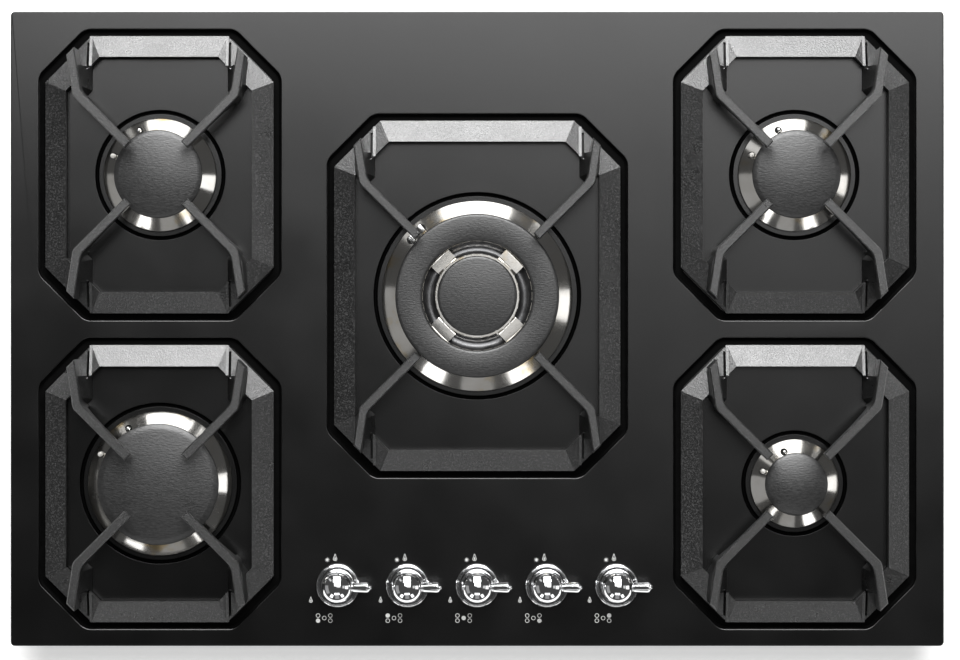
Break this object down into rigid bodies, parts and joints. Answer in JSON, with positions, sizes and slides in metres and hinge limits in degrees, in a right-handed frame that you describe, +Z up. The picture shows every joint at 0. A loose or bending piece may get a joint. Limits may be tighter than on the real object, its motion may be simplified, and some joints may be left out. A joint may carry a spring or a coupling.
{
  "type": "gas cooktop",
  "caption": "Built-in gas cooktop: pressed steel plate with sunk burners, a wok burner, lift-off cast-iron pan supports and front lever knobs that press and turn.",
  "frame": {"origin": "middle of the worktop's cut-out, at the height of the worktop's surface where the rim's seal lies", "axes": "+X to the right along the long side, +Y to the rear, +Z up"},
  "size_m": [0.75, 0.51, 0.09],
  "materials": {
    "black_enamel_plate": "satin black vitreous enamel on steel",
    "foam_seal": "closed-cell foam",
    "zinc_steel": "zinc-plated sheet",
    "zinc_fixings": "zinc-plated",
    "brass_fittings": "turned brass",
    "cast_aluminium_cup": "die-cast, as cast",
    "white_ceramic": "glazed white ceramic",
    "steel_rod": "turned steel",
    "chrome": "mirror-polished chrome",
    "black_plastic": "moulded plastic",
    "steel_pipe": "zinc-plated pipe",
    "aluminium_pipe": "drawn aluminium",
    "polished_crown": "polished",
    "enamelled_cap": "satin black enamel",
    "enamelled_cast_iron": "matt grainy black enamel",
    "rubber_feet": "moulded silicone rubber",
    "nylon_collar": "moulded nylon"
  },
  "bodies": {
    "hob": {"top_plate": "black_enamel_plate", "rim_seal": "foam_seal", "bottom_tray": "zinc_steel", "tray_nuts": "zinc_fixings", "cup_screws": "zinc_fixings", "gas_jets": "brass_fittings", "burner_cup_left_front": "cast_aluminium_cup", "burner_cup_left_rear": "cast_aluminium_cup", "burner_cup_centre": "cast_aluminium_cup", "burner_cup_right_front": "cast_aluminium_cup", "burner_cup_right_rear": "cast_aluminium_cup", "spark_electrodes": "white_ceramic", "flame_sensors": "steel_rod", "knob_bezels": "chrome", "gas_taps": "brass_fittings", "ignition_switches": "black_plastic", "gas_rail": "steel_pipe", "rail_brackets": "zinc_steel", "burner_pipes": "aluminium_pipe", "gas_inlet_elbow": "brass_fittings", "spark_generator": "black_plastic", "mains_terminal_box": "black_plastic", "cable_gland": "black_plastic", "worktop_clamps": "zinc_steel"},
    "support_left_front": {"pan_support_left_front": "enamelled_cast_iron", "support_feet_left_front": "rubber_feet"},
    "crown_left_front": {"burner_crown_left_front": "polished_crown"},
    "cap_left_front": {"burner_cap_left_front": "enamelled_cap"},
    "support_left_rear": {"pan_support_left_rear": "enamelled_cast_iron", "support_feet_left_rear": "rubber_feet"},
    "crown_left_rear": {"burner_crown_left_rear": "polished_crown"},
    "cap_left_rear": {"burner_cap_left_rear": "enamelled_cap"},
    "support_centre": {"pan_support_centre": "enamelled_cast_iron", "support_feet_centre": "rubber_feet"},
    "crown_centre": {"burner_crown_centre": "polished_crown"},
    "cap_centre": {"burner_cap_centre": "enamelled_cap"},
    "support_right_front": {"pan_support_right_front": "enamelled_cast_iron", "support_feet_right_front": "rubber_feet"},
    "crown_right_front": {"burner_crown_right_front": "polished_crown"},
    "cap_right_front": {"burner_cap_right_front": "enamelled_cap"},
    "support_right_rear": {"pan_support_right_rear": "enamelled_cast_iron", "support_feet_right_rear": "rubber_feet"},
    "crown_right_rear": {"burner_crown_right_rear": "polished_crown"},
    "cap_right_rear": {"burner_cap_right_rear": "enamelled_cap"},
    "cap_centre_inner": {"burner_cap_centre_inner": "enamelled_cap"},
    "press_1": {"press_collar_1": "nylon_collar"},
    "knob_1": {"knob_1": "chrome", "tap_stem_1": "steel_rod"},
    "press_2": {"press_collar_2": "nylon_collar"},
    "knob_2": {"knob_2": "chrome", "tap_stem_2": "steel_rod"},
    "press_3": {"press_collar_3": "nylon_collar"},
    "knob_3": {"knob_3": "chrome", "tap_stem_3": "steel_rod"},
    "press_4": {"press_collar_4": "nylon_collar"},
    "knob_4": {"knob_4": "chrome", "tap_stem_4": "steel_rod"},
    "press_5": {"press_collar_5": "nylon_collar"},
    "knob_5": {"knob_5": "chrome", "tap_stem_5": "steel_rod"}
  },
  "joints": [
    {"name": "lift_support_left_front", "type": "slide", "parent": "hob", "child": "support_left_front", "axis": [0, 0, 1], "range_m": [0, 0.12]},
    {"name": "lift_crown_left_front", "type": "slide", "parent": "hob", "child": "crown_left_front", "axis": [0, 0, 1], "range_m": [0, 0.007]},
    {"name": "lift_cap_left_front", "type": "slide", "parent": "crown_left_front", "child": "cap_left_front", "axis": [0, 0, 1], "range_m": [0, 0.007]},
    {"name": "lift_support_left_rear", "type": "slide", "parent": "hob", "child": "support_left_rear", "axis": [0, 0, 1], "range_m": [0, 0.12]},
    {"name": "lift_crown_left_rear", "type": "slide", "parent": "hob", "child": "crown_left_rear", "axis": [0, 0, 1], "range_m": [0, 0.007]},
    {"name": "lift_cap_left_rear", "type": "slide", "parent": "crown_left_rear", "child": "cap_left_rear", "axis": [0, 0, 1], "range_m": [0, 0.007]},
    {"name": "lift_support_centre", "type": "slide", "parent": "hob", "child": "support_centre", "axis": [0, 0, 1], "range_m": [0, 0.12]},
    {"name": "lift_crown_centre", "type": "slide", "parent": "hob", "child": "crown_centre", "axis": [0, 0, 1], "range_m": [0, 0.012]},
    {"name": "lift_cap_centre", "type": "slide", "parent": "crown_centre", "child": "cap_centre", "axis": [0, 0, 1], "range_m": [0, 0.06]},
    {"name": "lift_support_right_front", "type": "slide", "parent": "hob", "child": "support_right_front", "axis": [0, 0, 1], "range_m": [0, 0.12]},
    {"name": "lift_crown_right_front", "type": "slide", "parent": "hob", "child": "crown_right_front", "axis": [0, 0, 1], "range_m": [0, 0.02]},
    {"name": "lift_cap_right_front", "type": "slide", "parent": "crown_right_front", "child": "cap_right_front", "axis": [0, 0, 1], "range_m": [0, 0.06]},
    {"name": "lift_support_right_rear", "type": "slide", "parent": "hob", "child": "support_right_rear", "axis": [0, 0, 1], "range_m": [0, 0.12]},
    {"name": "lift_crown_right_rear", "type": "slide", "parent": "hob", "child": "crown_right_rear", "axis": [0, 0, 1], "range_m": [0, 0.007]},
    {"name": "lift_cap_right_rear", "type": "slide", "parent": "crown_right_rear", "child": "cap_right_rear", "axis": [0, 0, 1], "range_m": [0, 0.007]},
    {"name": "lift_cap_centre_inner", "type": "slide", "parent": "crown_centre", "child": "cap_centre_inner", "axis": [0, 0, 1], "range_m": [0, 0.06]},
    {"name": "press_knob_1", "type": "slide", "parent": "hob", "child": "press_1", "axis": [0, 0, -1], "range_m": [0, 0.003], "stiffness_N_per_m": 900, "springref_m": -0.0015},
    {"name": "turn_knob_1", "type": "hinge", "parent": "press_1", "child": "knob_1", "pos_m": [-0.112, -0.2062, 0], "axis": [0, 0, 1], "range_deg": [0, 210]},
    {"name": "press_knob_2", "type": "slide", "parent": "hob", "child": "press_2", "axis": [0, 0, -1], "range_m": [0, 0.003], "stiffness_N_per_m": 900, "springref_m": -0.0015},
    {"name": "turn_knob_2", "type": "hinge", "parent": "press_2", "child": "knob_2", "pos_m": [-0.056, -0.2062, 0], "axis": [0, 0, 1], "range_deg": [0, 210]},
    {"name": "press_knob_3", "type": "slide", "parent": "hob", "child": "press_3", "axis": [0, 0, -1], "range_m": [0, 0.003], "stiffness_N_per_m": 900, "springref_m": -0.0015},
    {"name": "turn_knob_3", "type": "hinge", "parent": "press_3", "child": "knob_3", "pos_m": [0, -0.2062, 0], "axis": [0, 0, 1], "range_deg": [0, 210]},
    {"name": "press_knob_4", "type": "slide", "parent": "hob", "child": "press_4", "axis": [0, 0, -1], "range_m": [0, 0.003], "stiffness_N_per_m": 900, "springref_m": -0.0015},
    {"name": "turn_knob_4", "type": "hinge", "parent": "press_4", "child": "knob_4", "pos_m": [0.056, -0.2062, 0], "axis": [0, 0, 1], "range_deg": [0, 210]},
    {"name": "press_knob_5", "type": "slide", "parent": "hob", "child": "press_5", "axis": [0, 0, -1], "range_m": [0, 0.003], "stiffness_N_per_m": 900, "springref_m": -0.0015},
    {"name": "turn_knob_5", "type": "hinge", "parent": "press_5", "child": "knob_5", "pos_m": [0.112, -0.2062, 0], "axis": [0, 0, 1], "range_deg": [0, 210]}
  ]
}
